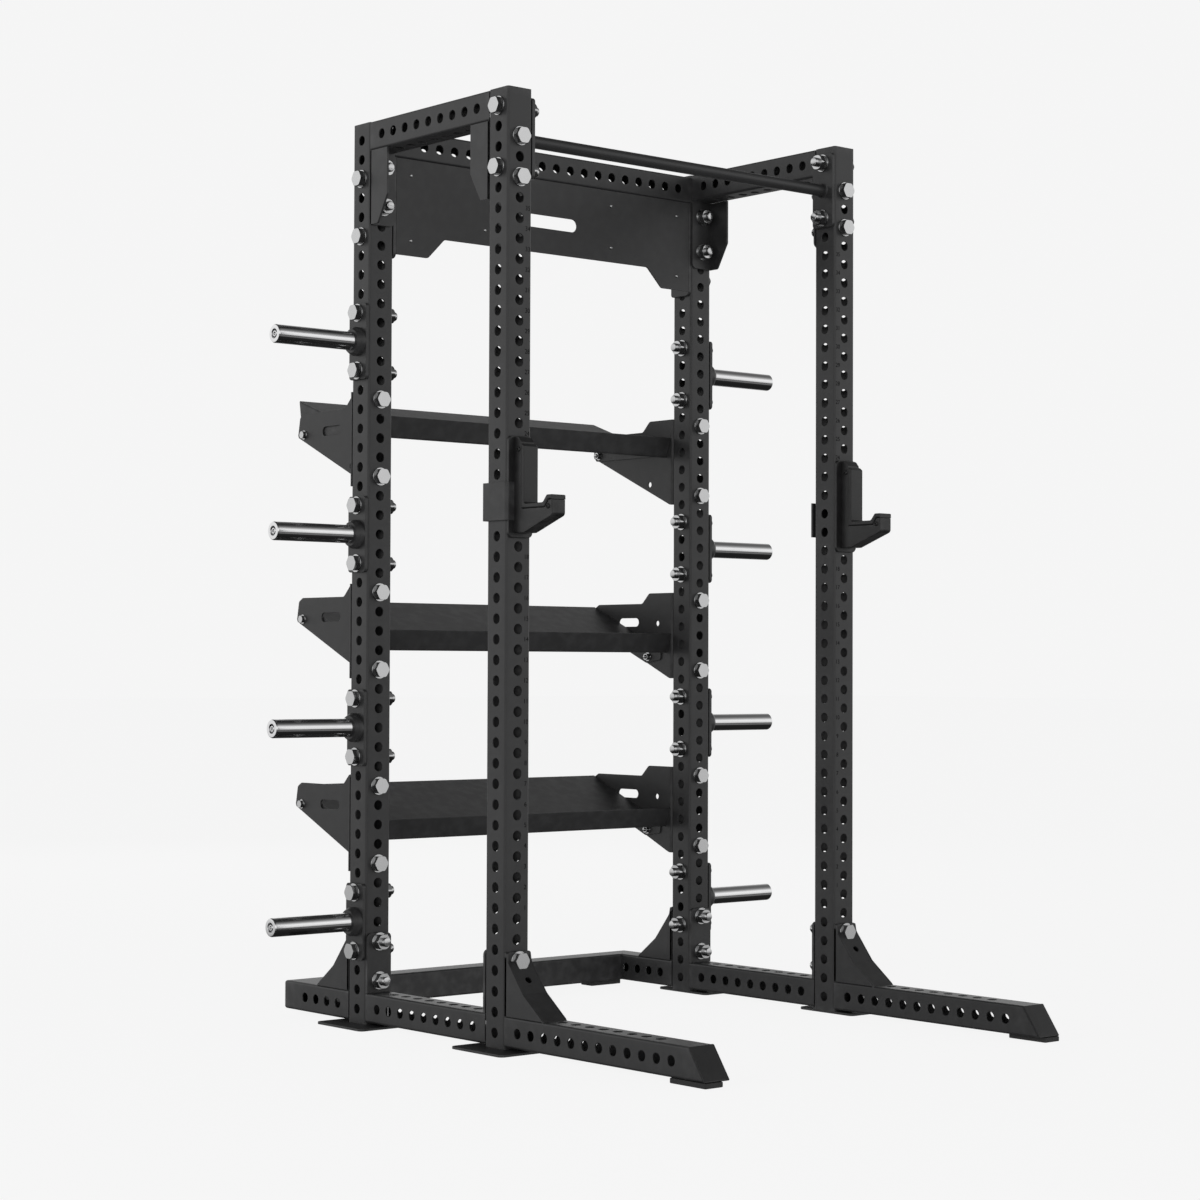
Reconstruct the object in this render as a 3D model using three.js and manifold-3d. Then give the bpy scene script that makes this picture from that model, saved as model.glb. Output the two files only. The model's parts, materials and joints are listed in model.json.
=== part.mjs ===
// Power cage with storage: four perforated steel uprights on a bolted base, a pull-up bar, side and rear
// crossmembers, eight plate pegs, three tilted trays and two J-cups that swing on their pins.
// Millimetres, +Z up, +Y to the rear, +X to the lifter's right. The origin is under the middle of its box.
import * as THREE from "three";
import { mergeVertices } from "three/addons/utils/BufferGeometryUtils.js";
import Module from "manifold-3d";

const wasm = await Module();
wasm.setup();

// Driving dimensions
const tube = 76.2; // outside of every square tube
const wall = 3; // tube wall
const pitch = 50.8; // spacing of the holes along every tube
const holeRadius = 12.7;
const insideWidth = 1066.8; // clear width between left and right uprights
const insideDepth = 508; // clear depth between front and rear uprights
const sideHoles = 46; // holes up the side face of an upright
const endMargin = 44.45; // from the last side hole to the end of an upright
const railLift = 12.7; // underside of the base rails above the floor
const clearance = 0.3; // gap between pieces that touch

const footPlateThick = 6.35;
const footPlateOutside = 60; // how far a foot plate stands out past the upright
const footPlateInset = 4;
const footPlateLength = 204;
const footPlateCorner = 14;

const frontFootLength = 720; // along the underside, ahead of the upright
const frontFootRake = 54; // how far the top edge stops short of the underside
const rearFootLength = 298.4; // behind the upright, to the back of the rear base tube
const endCapThick = 5;
const padLength = 122;
const frontPadWidth = 56;
const rearPadLength = 114;
const rearPadWidth = 52;

const flangeThick = 8; // plates bolted to the uprights' front and rear faces
const flangeLowBolt = 1.5; // hole numbers above the lowest side hole
const flangeTopBolt = 3.5;
const flangeEdge = 22; // plate past the centre of its last bolt
const gussetSheet = 5;
const gussetReach = 150; // along the rail
const gussetKneeReach = 72;
const gussetKneeHeight = 59; // above the rail
const gussetTopReach = 12;
const accessRadius = 9; // socket access in the gusset's sloping face
const drainRadius = 6;

const bracketSheet = 6; // brackets under the side crossmembers
const bracketLength = 76;
const bracketTaper = 34; // length left at the bracket's foot
const bracketTaperHeight = 72;
const bracketDrop = 49; // below its lower bolt

const plateThick = 9.5; // bolted plates on the uprights' side faces
const barRadius = 15.875; // pull-up bar
const barPlateEdge = 25;
const barPlateCorner = 13;

const headerSheet = 4;
const headerDepth = 258; // below the rear crossmember, at its ends
const headerArch = 55; // rise of the middle of its lower edge
const headerArchHalf = 363; // half the raised width
const headerSlotLength = 200;
const headerSlotHeight = 36;
const headerSlotCorner = 12;
const endPlateDrop = 53; // crossmember end plate below its lower bolt

const pegPlateHeight = 200;
const pegPlateCorner = 10;
const collarRadius = 38;
const collarNose = 31;
const collarLength = 22;
const sleeveRadius = 24.5;
const sleeveLength = 239;

const shelfSheet = 5;
const shelfHalf = 125; // half the height of the shelf bracket's flange
const shelfShoulder = 94.5; // top edge above the middle of the bracket
const shelfNose = 36; // rear corner above the middle of the bracket
const shelfReach = 359; // behind the upright
const traySheet = 4;
const trayFront = 31; // fold behind the upright's rear face
const trayDepth = 350; // along the floor
const trayLip = 62;
const traySkirt = 46; // side flange below the floor
const lowTraySeat = { rise: -52.5, tilt: 23 }; // fold above the middle of the bracket, and degrees
const topTraySeat = { rise: 12, tilt: 19.5 };

const cupPlate = 8; // J-cup back plate
const cupPlateAbovePin = 69;
const cupPlateBelowPin = 182;
const cupCorner = 16;
const cupWidth = 42;
const cupFloor = 100; // seat below the pin
const cupLinerThick = 12;
const wrapSheet = 6;
const wrapGap = 1.5; // to the upright's side
const wrapRearGap = 8; // to the upright's rear face
const wrapTop = 45.5; // below the pin
const wrapHeight = 94;
const pinRadius = 11.4;
const pinLength = 45;

// Levels are hole numbers counted up from the lowest side hole. Front and rear holes lie half a pitch off.
const pegLevels = [4.5, 14.5, 24.5, 34.5];
const shelfLevels = [9.5, 19.5, 29.5];
const shelfBoltSpan = 2; // each way from the middle
const pinLevel = 27.5;
const topLevel = sideHoles - 1;
const barLevel = topLevel - 1.5;
const barBoltSpan = 1.5;
const bracketLowLevel = topLevel - 3.5;
const endPlateLowLevel = topLevel - 5;

const level = (n) => endMargin + n * pitch;
const half = tube / 2;
const uprightX = insideWidth / 2 + half;
const uprightY = insideDepth / 2 + half;
const innerX = insideWidth / 2;
const outerX = innerX + tube;
const innerY = insideDepth / 2;
const outerY = innerY + tube;
const uprightFoot = footPlateThick + clearance;
const uprightTop = level(topLevel) + endMargin;
const railTop = railLift + tube;
const flangeTop = level(flangeTopBolt) + flangeEdge;
const rearEnd = outerY + rearFootLength;
const frontEnd = -outerY - frontFootLength;
const round = 16; // sides of a round solid
const holeSides = 8;

const materials = {
  powder: new THREE.MeshStandardMaterial({ color: 0x2b2b2c, roughness: 0.62, metalness: 0.25 }),
  sheet: new THREE.MeshStandardMaterial({ color: 0x262627, roughness: 0.6, metalness: 0.25 }),
  chrome: new THREE.MeshStandardMaterial({ color: 0xc9cacb, roughness: 0.22, metalness: 1 }),
  zinc: new THREE.MeshStandardMaterial({ color: 0xb4b6b8, roughness: 0.35, metalness: 1 }),
  plastic: new THREE.MeshStandardMaterial({ color: 0x1b1b1c, roughness: 0.5, metalness: 0 }),
  rubber: new THREE.MeshStandardMaterial({ color: 0x161616, roughness: 0.85, metalness: 0 }),
};

// Solids: every shape is a three.js geometry, turned into a manifold only to join or cut it.
function solid(geometry) {
  const bare = geometry.index ? geometry.toNonIndexed() : geometry.clone();
  bare.deleteAttribute("normal");
  bare.deleteAttribute("uv");
  const merged = mergeVertices(bare, 1e-4);
  return new wasm.Manifold(
    new wasm.Mesh({
      numProp: 3,
      vertProperties: new Float32Array(merged.attributes.position.array),
      triVerts: new Uint32Array(merged.index.array),
    }),
  );
}

function geometryOf(manifold) {
  const mesh = manifold.getMesh();
  const geometry = new THREE.BufferGeometry();
  geometry.setAttribute("position", new THREE.BufferAttribute(mesh.vertProperties, 3));
  geometry.setIndex(new THREE.BufferAttribute(mesh.triVerts, 1));
  return geometry;
}

const join = (solids) => solids.reduce((sum, next) => sum.add(next));
const cut = (body, tools) => tools.reduce((rest, tool) => rest.subtract(tool), body);

function box(x, y, z) {
  const geometry = new THREE.BoxGeometry(x[1] - x[0], y[1] - y[0], z[1] - z[0]);
  return solid(geometry.translate((x[0] + x[1]) / 2, (y[0] + y[1]) / 2, (z[0] + z[1]) / 2));
}

// A range between two values given in either order, for pieces that are mirrored by side.
const span = (a, b) => [Math.min(a, b), Math.max(a, b)];

const across = {
  x: [new THREE.Vector3(0, 1, 0), new THREE.Vector3(0, 0, 1), new THREE.Vector3(1, 0, 0)],
  y: [new THREE.Vector3(1, 0, 0), new THREE.Vector3(0, 0, 1), new THREE.Vector3(0, -1, 0)],
  z: [new THREE.Vector3(1, 0, 0), new THREE.Vector3(0, 1, 0), new THREE.Vector3(0, 0, 1)],
};

// A flat outline carried along one axis: points are (y, z) along x, (x, z) along y and (x, y) along z.
function slab(points, axis, range, holes = []) {
  const outline = points.map(([a, b]) => new THREE.Vector2(a, b));
  const shape = new THREE.Shape(outline);
  holes.forEach((hole) => shape.holes.push(new THREE.Path(hole.map(([a, b]) => new THREE.Vector2(a, b)))));
  const depth = range[1] - range[0];
  const geometry = new THREE.ExtrudeGeometry(shape, { depth, bevelEnabled: false });
  geometry.applyMatrix4(new THREE.Matrix4().makeBasis(...across[axis]));
  const start = axis === "y" ? range[1] : range[0];
  geometry.translate(axis === "x" ? start : 0, axis === "y" ? start : 0, axis === "z" ? start : 0);
  return solid(geometry);
}

// A rectangle with cut corners.
function cutCorners([a0, a1], [b0, b1], corner) {
  return [
    [a0 + corner, b0],
    [a1 - corner, b0],
    [a1, b0 + corner],
    [a1, b1 - corner],
    [a1 - corner, b1],
    [a0 + corner, b1],
    [a0, b1 - corner],
    [a0, b0 + corner],
  ];
}

// A cylinder between two places on one axis, with its centre given on the other two.
function rod(axis, range, centre, radius, sides = round) {
  const geometry = new THREE.CylinderGeometry(radius, radius, range[1] - range[0], sides);
  const middle = (range[0] + range[1]) / 2;
  if (axis === "x") geometry.rotateZ(-Math.PI / 2).translate(middle, centre[0], centre[1]);
  if (axis === "y") geometry.translate(centre[0], middle, centre[1]);
  if (axis === "z") geometry.rotateX(Math.PI / 2).translate(centre[0], centre[1], middle);
  return solid(geometry);
}

const rack = new THREE.Group();

function add(name, body, material) {
  const mesh = new THREE.Mesh(geometryOf(body), material);
  mesh.name = name;
  rack.add(mesh);
}

const sides = [
  { side: -1, hand: "left" },
  { side: 1, hand: "right" },
];
const ends = [
  { end: -1, place: "front" },
  { end: 1, place: "rear" },
];

// Uprights: hollow tubes, open at both ends. The front pair carries the row of J-cup holes.
function upright(side, end) {
  const x = side * uprightX;
  const y = end * uprightY;
  const shell = box([x - half, x + half], [y - half, y + half], [uprightFoot, uprightTop]);
  const core = half - wall;
  const bore = box([x - core, x + core], [y - core, y + core], [uprightFoot - wall, uprightTop + wall]);
  const row = [];
  if (end < 0) {
    for (let n = flangeLowBolt; n <= barLevel; n += 1) {
      row.push(rod("y", [y - half - wall, y - half + 2 * wall], [x, level(n)], holeRadius, holeSides));
    }
  }
  return cut(shell, [bore, ...row]);
}

function footPlate(side, end) {
  const x = span(side * (innerX + footPlateInset), side * (outerX + footPlateOutside));
  const y = [end * uprightY - footPlateLength / 2, end * uprightY + footPlateLength / 2];
  return slab(cutCorners(x, y, footPlateCorner), "z", [0, footPlateThick]);
}

// The plate that bolts to an upright's front or rear face. It starts at y and grows away from the upright.
function flange(side, y, away, z) {
  const x = span(side * innerX, side * outerX);
  return box(x, span(y, y + away * flangeThick), z);
}

// Hollow folded gusset between an upright and a rail, open through the access hole in its slope.
function gusset(side, face, away) {
  const y = (reach) => face + away * reach;
  const outline = (inset) => [
    [y(flangeThick - (inset ? 0 : 1)), railTop - 1 + inset],
    [y(gussetReach - 2.4 * inset), railTop - 1 + inset],
    [y(gussetKneeReach - 1.3 * inset), railTop + gussetKneeHeight - 0.4 * inset],
    [y(gussetTopReach), flangeTop - flangeEdge - inset],
    [y(flangeThick - (inset ? 0 : 1)), flangeTop - flangeEdge - inset],
  ];
  const x = [side * uprightX - half, side * uprightX + half];
  const shell = slab(outline(0), "x", x);
  const pocket = slab(outline(gussetSheet), "x", [x[0] + gussetSheet, x[1] - gussetSheet]);
  const access = rod(
    "y",
    span(y(gussetKneeReach / 2), y(gussetReach)),
    [side * uprightX, railTop + gussetKneeHeight * 0.7],
    accessRadius,
    8,
  );
  return { shell, tools: [pocket, access] };
}

function sideBaseRail(side) {
  const x = side * uprightX;
  const y = innerY - clearance;
  const shell = box([x - half, x + half], [-y, y], [railLift, railTop]);
  const core = half - wall;
  const reach = y - flangeThick;
  const bore = box([x - core, x + core], [-reach, reach], [railLift + wall, railTop - wall]);
  const drain = rod("z", [railLift - wall, railLift + 2 * wall], [x, 0], drainRadius, 8);
  const plates = ends.map(({ end }) => flange(side, end * y, -end, [railTop - 1, flangeTop]));
  return cut(join([shell, ...plates]), [bore, drain]);
}

function frontFoot(side) {
  const x = side * uprightX;
  const face = -outerY - clearance;
  const rake = frontFootRake / tube;
  const outline = (inset) => [
    [face - inset * (flangeThick / wall), railLift + inset],
    [frontEnd + rake * inset - 2 * inset, railLift + inset],
    [frontEnd + frontFootRake - rake * inset - 2 * inset, railTop - inset],
    [face - inset * (flangeThick / wall), railTop - inset],
  ];
  const shell = slab(outline(0), "x", [x - half, x + half]);
  const bore = slab(outline(wall), "x", [x - half + wall, x + half - wall]);
  const fold = gusset(side, face, -1);
  const plate = flange(side, face, -1, [railTop - 1, flangeTop]);
  return cut(join([shell, plate, fold.shell]), [bore, ...fold.tools]);
}

// Cap on the raked end of the front foot.
function footCap(side) {
  const x = side * uprightX;
  const low = frontEnd - clearance;
  const high = low + frontFootRake;
  const outline = [
    [low, railLift],
    [high, railTop],
    [high - endCapThick, railTop],
    [low - endCapThick, railLift],
  ];
  return slab(outline, "x", [x - half, x + half]);
}

function frontPad(side) {
  const x = span(side * outerX, side * (outerX - frontPadWidth));
  const y = frontEnd - endCapThick;
  return slab(cutCorners(x, [y, y + padLength], 4), "z", [0, railLift - clearance]);
}

function rearPad(side) {
  const x = span(side * (innerX + 8), side * (innerX + 8 - rearPadLength));
  const y = rearEnd - half - rearPadWidth / 2;
  return slab(cutCorners(x, [y, y + rearPadWidth], 4), "z", [0, railLift - clearance]);
}

// Rear feet and the rear base tube meet in mitres.
function rearFoot(side) {
  const face = outerY + clearance;
  const gap = 2 * clearance;
  const outline = (inset) => [
    [side * (innerX + inset), face + inset * (flangeThick / wall)],
    [side * (outerX - inset), face + inset * (flangeThick / wall)],
    [side * (outerX - inset), rearEnd - gap + inset],
    [side * (innerX + inset), rearEnd - gap - tube + 3 * inset],
  ];
  const shell = slab(outline(0), "z", [railLift, railTop]);
  const bore = slab(outline(wall), "z", [railLift + wall, railTop - wall]);
  const fold = gusset(side, face, 1);
  const plate = flange(side, face, 1, [railTop - 1, flangeTop]);
  return cut(join([shell, plate, fold.shell]), [bore, ...fold.tools]);
}

function rearBaseTube() {
  const outline = (inset) => [
    [-outerX - inset, rearEnd - inset],
    [-innerX - 3 * inset, rearEnd - tube + inset],
    [innerX + 3 * inset, rearEnd - tube + inset],
    [outerX + inset, rearEnd - inset],
  ];
  return cut(slab(outline(0), "z", [railLift, railTop]), [
    slab(outline(wall), "z", [railLift + wall, railTop - wall]),
  ]);
}

// Top side crossmember with the bent bracket at each end: a flange on the upright and a cheek under the tube.
function topSideTube(side) {
  const x = side * uprightX;
  const y = innerY - clearance;
  const low = uprightTop - tube;
  const foot = level(bracketLowLevel) - bracketDrop;
  const core = half - wall;
  const shell = box([x - half, x + half], [-y, y], [low, uprightTop]);
  const reach = y - bracketSheet;
  const bore = box([x - core, x + core], [-reach, reach], [low + wall, uprightTop - wall]);
  const drain = rod("z", [low - wall, low + 2 * wall], [x, 0], drainRadius, 8);
  const brackets = ends.flatMap(({ end }) => {
    const face = end * y;
    const cheek = [
      [face, low + 1],
      [face - end * bracketLength, low + 1],
      [face - end * bracketLength, foot + bracketTaperHeight],
      [face - end * bracketTaper, foot],
      [face, foot],
    ];
    return [
      box(span(side * innerX, side * outerX), span(face, face - end * bracketSheet), [foot, low + 1]),
      slab(cheek, "x", span(side * outerX, side * (outerX - bracketSheet))),
    ];
  });
  return cut(join([shell, ...brackets]), [bore, drain]);
}

// Rear crossmember between the rear uprights, on end plates that reach down past their bolts.
function topRearTube() {
  const x = innerX - clearance;
  const centre = level(topLevel);
  const core = half - wall;
  const shell = box([-x, x], [uprightY - half, uprightY + half], [centre - half, centre + half]);
  const bore = box(
    [plateThick - x, x - plateThick],
    [uprightY - core, uprightY + core],
    [centre - core, centre + core],
  );
  const drain = rod("z", [centre - half - wall, centre - half + 2 * wall], [0, uprightY], drainRadius, 8);
  const foot = level(endPlateLowLevel) - endPlateDrop;
  const plates = sides.map(({ side }) =>
    box(span(side * x, side * (x - plateThick)), [innerY, outerY], [foot, centre - half + 1]),
  );
  return cut(join([shell, ...plates]), [bore, drain]);
}

function headerPlate() {
  const x = innerX - plateThick - 2 * clearance;
  const top = level(topLevel) - half - clearance;
  const low = top - headerDepth;
  const middle = (top + low) / 2 + headerArch / 4;
  const outline = [
    [-x, low],
    [-headerArchHalf - headerArch, low],
    [-headerArchHalf, low + headerArch],
    [headerArchHalf, low + headerArch],
    [headerArchHalf + headerArch, low],
    [x, low],
    [x, top],
    [-x, top],
  ];
  const slot = cutCorners(
    [-headerSlotLength / 2, headerSlotLength / 2],
    [middle - headerSlotHeight / 2, middle + headerSlotHeight / 2],
    headerSlotCorner,
  );
  return slab(outline, "y", [innerY, innerY + headerSheet], [slot]);
}

function barPlate(side) {
  const z = [
    level(barLevel - barBoltSpan) - barPlateEdge,
    level(barLevel + barBoltSpan) + barPlateEdge,
  ];
  const x = span(side * (innerX - clearance), side * (innerX - clearance - plateThick));
  return slab(cutCorners([-outerY, -innerY], z, barPlateCorner), "x", x);
}

function pullUpBar() {
  const x = innerX - plateThick - 2 * clearance;
  return rod("x", [-x, x], [-uprightY, level(barLevel)], barRadius, 24);
}

function pegBracket(side, n) {
  const face = outerX + clearance;
  const z = [level(n) - pegPlateHeight / 2, level(n) + pegPlateHeight / 2];
  const x = span(side * face, side * (face + plateThick));
  const plate = slab(cutCorners([innerY, outerY], z, pegPlateCorner), "x", x);
  const profile = [
    [0, -1],
    [collarRadius, -1],
    [collarRadius, collarLength / 2],
    [collarNose, collarLength],
    [0, collarLength],
  ].map(([r, along]) => new THREE.Vector2(r, along));
  const collar = new THREE.LatheGeometry(profile, round);
  collar.rotateZ((-side * Math.PI) / 2).translate(side * (face + plateThick), uprightY, level(n));
  return join([plate, solid(collar)]);
}

function pegSleeve(side, n) {
  const start = outerX + plateThick + collarLength + 2 * clearance;
  return rod("x", span(side * start, side * (start + sleeveLength)), [uprightY, level(n)], sleeveRadius);
}

// Shelf bracket: a flange on the upright's rear face, folded into a plate that reaches back.
function shelfBracket(side, n) {
  const y = outerY + clearance;
  const z = level(n);
  const outline = [
    [y, z - shelfHalf],
    [y + 16, z - shelfHalf + 1],
    [y + shelfReach - 3, z + shelfNose - 7],
    [y + shelfReach, z + shelfNose],
    [y + shelfReach - 9, z + shelfShoulder - 10],
    [y + shelfReach - 27, z + shelfShoulder],
    [y + 135, z + shelfShoulder],
    [y + 104, z + shelfHalf],
    [y, z + shelfHalf],
  ];
  const cheek = slab(outline, "x", span(side * innerX, side * (innerX + shelfSheet)));
  const back = slab(
    cutCorners(span(side * innerX, side * outerX), [z - shelfHalf, z + shelfHalf], 0.5),
    "y",
    [y, y + shelfSheet],
  );
  return join([cheek, back]);
}

// Tray: a floor that slopes down to the front, a lip square to it, and a skirt folded down at each end.
function tray(n, seat) {
  const fold = [outerY + trayFront, level(n) + seat.rise];
  const tilt = THREE.MathUtils.degToRad(seat.tilt);
  const along = [Math.cos(tilt), Math.sin(tilt)];
  const up = [-along[1], along[0]];
  const at = (a, b) => [fold[0] + a * along[0] + b * up[0], fold[1] + a * along[1] + b * up[1]];
  const x = innerX - clearance;
  const sheet = slab(
    [
      at(0, 0),
      at(trayDepth, 0),
      at(trayDepth, traySheet),
      at(traySheet, traySheet),
      at(traySheet, trayLip),
      at(0, trayLip),
    ],
    "x",
    [-x, x],
  );
  const skirts = sides.map(({ side }) =>
    slab(
      [at(60, 1), at(80, -traySkirt), at(trayDepth - 30, -traySkirt), at(trayDepth, 1)],
      "x",
      span(side * x, side * (x - traySheet)),
    ),
  );
  return join([sheet, ...skirts]);
}

// J-cup: back plate on the upright's front face, hook, and a wrap round the outer side and behind.
// Outlines of the hook are (y, z) from distances ahead of the upright and above the seat.
const seat = level(pinLevel) - cupFloor;
const ahead = ([reach, rise]) => [-outerY - clearance - reach, seat + rise];
const hookX = (side) => [side * uprightX - cupWidth / 2, side * uprightX + cupWidth / 2];

function cupBody(side) {
  const pin = level(pinLevel);
  const face = -outerY - clearance;
  const x = span(side * innerX, side * outerX);
  const plate = slab(
    cutCorners(x, [pin - cupPlateBelowPin, pin + cupPlateAbovePin], cupCorner),
    "y",
    [face - cupPlate, face],
  );
  const under = cupLinerThick + clearance;
  const hook = slab(
    [
      [cupPlate - 1, -71],
      [46, -71],
      [155, -32],
      [155, 18 - under],
      [141, 18 - under],
      [127, -under],
      [48 - under, -under],
      [48 - under, 152],
      [24, 166],
      [cupPlate - 1, 166],
    ].map(ahead),
    "x",
    hookX(side),
  );
  const wrapZ = [pin - wrapTop - wrapHeight, pin - wrapTop];
  const wrapX = outerX + wrapGap;
  const rear = -innerY + wrapRearGap;
  const cheek = box(
    span(side * wrapX, side * (wrapX + wrapSheet)),
    [face - cupPlate, rear + wrapSheet],
    wrapZ,
  );
  const tab = box(span(side * (outerX - cupCorner), side * (wrapX + 1)), [face - cupPlate, face], wrapZ);
  const lip = slab(
    cutCorners(span(side * innerX, side * (wrapX + 2 * cupCorner)), wrapZ, cupCorner),
    "y",
    [rear, rear + wrapSheet],
  );
  const trimmed = lip.subtract(
    box(
      span(side * (wrapX + 1), side * (wrapX + 4 * cupCorner)),
      [rear - 1, rear + wrapSheet + 1],
      [0, uprightTop],
    ),
  );
  const corner = box(span(side * (outerX - 2), side * (wrapX + wrapSheet)), [rear, rear + wrapSheet], wrapZ);
  return join([plate, hook, cheek, tab, trimmed, corner]);
}

function cupLiner(side) {
  const thick = cupLinerThick;
  const outline = [
    [48, 141],
    [48, 0],
    [120, 0],
    [135, 18],
    [155, 18],
    [155, 18 - thick],
    [141, 18 - thick],
    [127, -thick],
    [48 - thick, -thick],
    [48 - thick, 151],
  ].map(ahead);
  return slab(outline, "x", hookX(side));
}

function cupPin(side) {
  const start = -outerY;
  return rod("y", [start, start + pinLength], [side * uprightX, level(pinLevel)], pinRadius, round);
}

for (const { side, hand } of sides) {
  for (const { end, place } of ends) {
    add(`${place}_${hand}_upright`, upright(side, end), materials.powder);
    add(`${place}_${hand}_foot_plate`, footPlate(side, end), materials.powder);
  }
  add(`${hand}_base_rail`, sideBaseRail(side), materials.powder);
  add(`${hand}_front_foot`, frontFoot(side), materials.powder);
  add(`${hand}_front_foot_cap`, footCap(side), materials.plastic);
  add(`${hand}_front_pad`, frontPad(side), materials.rubber);
  add(`${hand}_rear_foot`, rearFoot(side), materials.powder);
  add(`${hand}_rear_pad`, rearPad(side), materials.rubber);
  add(`${hand}_top_crossmember`, topSideTube(side), materials.powder);
  add(`${hand}_bar_plate`, barPlate(side), materials.powder);
  pegLevels.forEach((n, i) => {
    add(`${hand}_peg_bracket_${i + 1}`, pegBracket(side, n), materials.powder);
    add(`${hand}_peg_sleeve_${i + 1}`, pegSleeve(side, n), materials.chrome);
  });
  shelfLevels.forEach((n, i) => {
    add(`${hand}_shelf_bracket_${i + 1}`, shelfBracket(side, n), materials.sheet);
  });
  add(`${hand}_jcup_body`, cupBody(side), materials.powder);
  add(`${hand}_jcup_liner`, cupLiner(side), materials.plastic);
  add(`${hand}_jcup_pin`, cupPin(side), materials.zinc);
}
add("rear_base_tube", rearBaseTube(), materials.powder);
add("rear_top_crossmember", topRearTube(), materials.powder);
add("header_plate", headerPlate(), materials.sheet);
add("pull_up_bar", pullUpBar(), materials.powder);
shelfLevels.forEach((n, i) => {
  const seat = i === shelfLevels.length - 1 ? topTraySeat : lowTraySeat;
  add(`tray_${i + 1}`, tray(n, seat), materials.sheet);
});

// The feet reach further forward than the shelf brackets reach back, so the rack is moved to centre its box.
const frontmost = frontEnd - endCapThick - clearance;
const rearmost = outerY + clearance + shelfReach;
rack.position.y = -(frontmost + rearmost) / 2;

export default rack;
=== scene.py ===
import json
import math

import bmesh
import bpy
import numpy as np
from mathutils import Matrix, Vector


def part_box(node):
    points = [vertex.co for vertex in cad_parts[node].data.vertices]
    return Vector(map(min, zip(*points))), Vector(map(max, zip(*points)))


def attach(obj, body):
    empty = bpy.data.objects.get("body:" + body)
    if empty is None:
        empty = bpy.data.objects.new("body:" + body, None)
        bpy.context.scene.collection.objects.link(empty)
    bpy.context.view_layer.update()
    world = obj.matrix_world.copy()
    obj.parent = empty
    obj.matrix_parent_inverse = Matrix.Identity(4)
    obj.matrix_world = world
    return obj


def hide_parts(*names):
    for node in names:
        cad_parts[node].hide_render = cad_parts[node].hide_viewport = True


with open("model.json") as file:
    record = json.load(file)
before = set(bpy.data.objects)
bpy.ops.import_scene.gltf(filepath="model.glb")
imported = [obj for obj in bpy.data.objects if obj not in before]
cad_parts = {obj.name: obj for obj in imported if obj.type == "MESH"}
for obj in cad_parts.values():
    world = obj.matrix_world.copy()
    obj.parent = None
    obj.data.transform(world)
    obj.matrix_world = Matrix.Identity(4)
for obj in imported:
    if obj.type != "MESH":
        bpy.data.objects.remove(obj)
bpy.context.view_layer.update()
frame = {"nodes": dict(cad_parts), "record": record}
mm = 0.001

# Lengths are in millimetres. x is to the right, y to the rear, z up.
rack = {
    "tube": 76.2,
    "wall": 3.0,
    "cornerRadius": 6.5,
    "pitch": 50.8,
    "holeRadius": 12.7,
    "holeChamfer": 0.7,
    "endMargin": 44.45,
    "topLevel": 45,  # number of the highest side hole
    "railSideHoles": 9,
    "railTopHoles": 8,
    "gap": 0.3,  # between pieces that touch
}
sides = ((-1, "left"), (1, "right"))
ends = ((-1, "front"), (1, "rear"))


def boxOf(node):
    low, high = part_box(node)
    return np.array(low) / mm, np.array(high) / mm


frontLow, frontHigh = boxOf("front_left_upright")
rearLow, rearHigh = boxOf("rear_left_upright")
frontY = (frontLow[1] + frontHigh[1]) / 2
rearY = (rearLow[1] + rearHigh[1]) / 2
middleY = (frontY + rearY) / 2
uprightX = -(frontLow[0] + frontHigh[0]) / 2
half = rack["tube"] / 2
innerX = uprightX - half
outerX = uprightX + half
uprightTop = frontHigh[2]


def level(n):
    return uprightTop - rack["endMargin"] - (rack["topLevel"] - n) * rack["pitch"]


def newObject(name, data):
    made = bpy.data.objects.new(name, data)
    bpy.context.scene.collection.objects.link(made)
    return made


# ---- camera, floor and light
view = {
    "place": (-4627.9, -5409.9, 943.2),  # from the middle of the four uprights, on the floor
    "yaw": 40.385,
    "pitch": 1.446,
    "roll": 0.2055,
    "lens": 79.23,
    "sensor": 36.0,
}


def makeCamera():
    data = bpy.data.cameras.new("view")
    data.lens = view["lens"]
    data.sensor_width = view["sensor"]
    data.clip_end = 100
    camera = newObject("view", data)
    yaw, pitch, roll = (math.radians(view[key]) for key in ("yaw", "pitch", "roll"))
    ahead = Vector((math.sin(yaw) * math.cos(pitch), math.cos(yaw) * math.cos(pitch), math.sin(pitch)))
    right = Vector((math.cos(yaw), -math.sin(yaw), 0))
    up = right.cross(ahead)
    rolledRight = math.cos(roll) * right + math.sin(roll) * up
    rolledUp = math.cos(roll) * up - math.sin(roll) * right
    turn = Matrix((rolledRight, rolledUp, -ahead)).transposed()
    place = (Vector(view["place"]) + Vector((0, middleY, 0))) * mm
    camera.matrix_world = Matrix.Translation(place) @ turn.to_4x4()
    bpy.context.scene.camera = camera


studio = {
    "backdrop": 0.915,  # brightness of the pale surround
    "floorColour": (0.07, 0.07, 0.07, 1),
    "floorGlow": 0.885,  # light the floor gives off, to meet the backdrop without a line
    "floorHalf": 60.0,
    "floorDrop": 0.0005,
    "aimHeight": 1.1,
    # name, place in metres, size in metres, power in watts
    "softboxes": (
        ("key", (-3.4, -6.2, 2.6), 3.0, 90.0),
        ("side", (-6.5, 0.5, 2.2), 3.0, 60.0),
        ("back", (2.5, 6.0, 3.5), 4.0, 50.0),
    ),
    # height of the direction from -1 down to 1 up, and how bright the room is there
    "room": (
        (-1.0, 0.01), (-0.5, 0.02), (-0.36, 0.25), (-0.22, 0.03), (-0.05, 0.9), (0.3, 1.1),
        (0.6, 0.28), (0.8, 0.04),
    ),
}


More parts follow.
